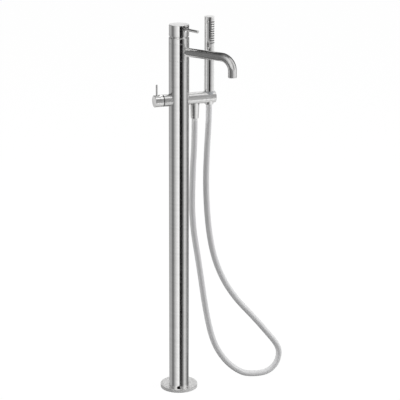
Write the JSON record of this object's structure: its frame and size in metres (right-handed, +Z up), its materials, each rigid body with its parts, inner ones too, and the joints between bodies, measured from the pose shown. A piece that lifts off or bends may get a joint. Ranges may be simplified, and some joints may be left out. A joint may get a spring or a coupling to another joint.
{
  "type": "floor standing bath filler",
  "caption": "Slim floor standing bath filler: round column with lever mixer cap, swivel spout, side diverter, holder bar with stick handset and hose.",
  "frame": {"origin": "centre of the base where it stands on the floor", "axes": "+Z up the column, +X along the handset holder, -Y the front"},
  "size_m": [0.3496, 0.1897, 0.96],
  "materials": {
    "brushed_steel": "satin, brushed along and round the pieces",
    "brass": "turned",
    "black_rubber": "matt",
    "black_plastic": "matt",
    "grey_plastic": "moulded",
    "white_ceramic": "polished ceramic",
    "hose_cover": "smooth silver sheath",
    "nozzle_silicone": "soft"
  },
  "bodies": {
    "column": {"floor_flange": "brushed_steel", "column_spigot": "brushed_steel", "floor_seal": "black_rubber", "base_cover": "brushed_steel", "lock_screw_plug": "black_rubber", "column_lock_screw": "brushed_steel", "column_tube": "brushed_steel", "hot_inlet_union": "brass", "cold_inlet_union": "brass", "hot_riser": "brushed_steel", "cold_riser": "brushed_steel", "mixed_pipe": "brushed_steel", "spout_pipe": "brushed_steel", "cross_body": "brass", "valve_stub": "brushed_steel", "gap_ring": "black_plastic", "diverter_cartridge": "grey_plastic", "holder_bar": "brushed_steel", "holder_bush": "grey_plastic", "outlet_nipple": "brass", "check_valve": "grey_plastic", "outlet_hose_nut": "brushed_steel", "outlet_washer": "black_rubber", "outlet_hose_tail": "brass", "shower_hose": "hose_cover", "swivel_neck": "brass", "mixer_body": "brushed_steel", "cartridge_cover": "brushed_steel", "spout_seals": "black_rubber", "lower_slide_ring": "grey_plastic", "upper_slide_ring": "grey_plastic", "cartridge_housing": "grey_plastic", "cartridge_base_seal": "black_rubber", "ceramic_fixed_disc": "white_ceramic", "cartridge_nut": "brass"},
    "spout": {"spout_sleeve": "brushed_steel", "spout_tube": "brushed_steel", "spout_limit_screw": "brushed_steel", "aerator_housing": "black_plastic", "aerator_insert": "grey_plastic", "aerator_seal": "black_rubber"},
    "temperature_yoke": {"ceramic_moving_disc": "white_ceramic", "cartridge_yoke": "grey_plastic", "yoke_pin": "brushed_steel"},
    "handle": {"cartridge_lever": "brass", "mixer_cap": "brushed_steel", "cap_set_screw": "brushed_steel", "mixer_lever": "brushed_steel"},
    "diverter_handle": {"diverter_spindle": "brass", "diverter_knob": "brushed_steel", "knob_set_screw": "brushed_steel", "diverter_lever": "brushed_steel"},
    "hose_end": {"handset_hose_nut": "brushed_steel", "handset_washer": "black_rubber", "handset_hose_tail": "brass"},
    "handset": {"handset_body": "brushed_steel", "handset_end_cap": "brushed_steel", "handset_connector": "brass", "handset_waterway": "grey_plastic", "spray_nozzles": "nozzle_silicone"}
  },
  "joints": [
    {"name": "spout_swivel", "type": "hinge", "parent": "column", "child": "spout", "pos_m": [0, 0, 0.879], "axis": [0, 0, 1], "range_deg": [-78, 12]},
    {"name": "temperature_turn", "type": "hinge", "parent": "column", "child": "temperature_yoke", "pos_m": [0, 0, 0.915], "axis": [0, 0, 1], "range_deg": [-63, 27]},
    {"name": "flow_tilt", "type": "hinge", "parent": "temperature_yoke", "child": "handle", "pos_m": [0, 0, 0.915], "axis": [-0.9511, -0.309, 0], "range_deg": [0, 8]},
    {"name": "diverter_turn", "type": "hinge", "parent": "column", "child": "diverter_handle", "pos_m": [-0.05, 0, 0.759], "axis": [1, 0, 0], "range_deg": [0, 90]},
    {"name": "handset_lift", "type": "slide", "parent": "column", "child": "hose_end", "axis": [0, 0, 1], "range_m": [0, 0.12]},
    {"name": "handset_turn", "type": "hinge", "parent": "hose_end", "child": "handset", "pos_m": [0.0795, 0, 0.8], "axis": [0, 0, 1], "continuous": true}
  ]
}
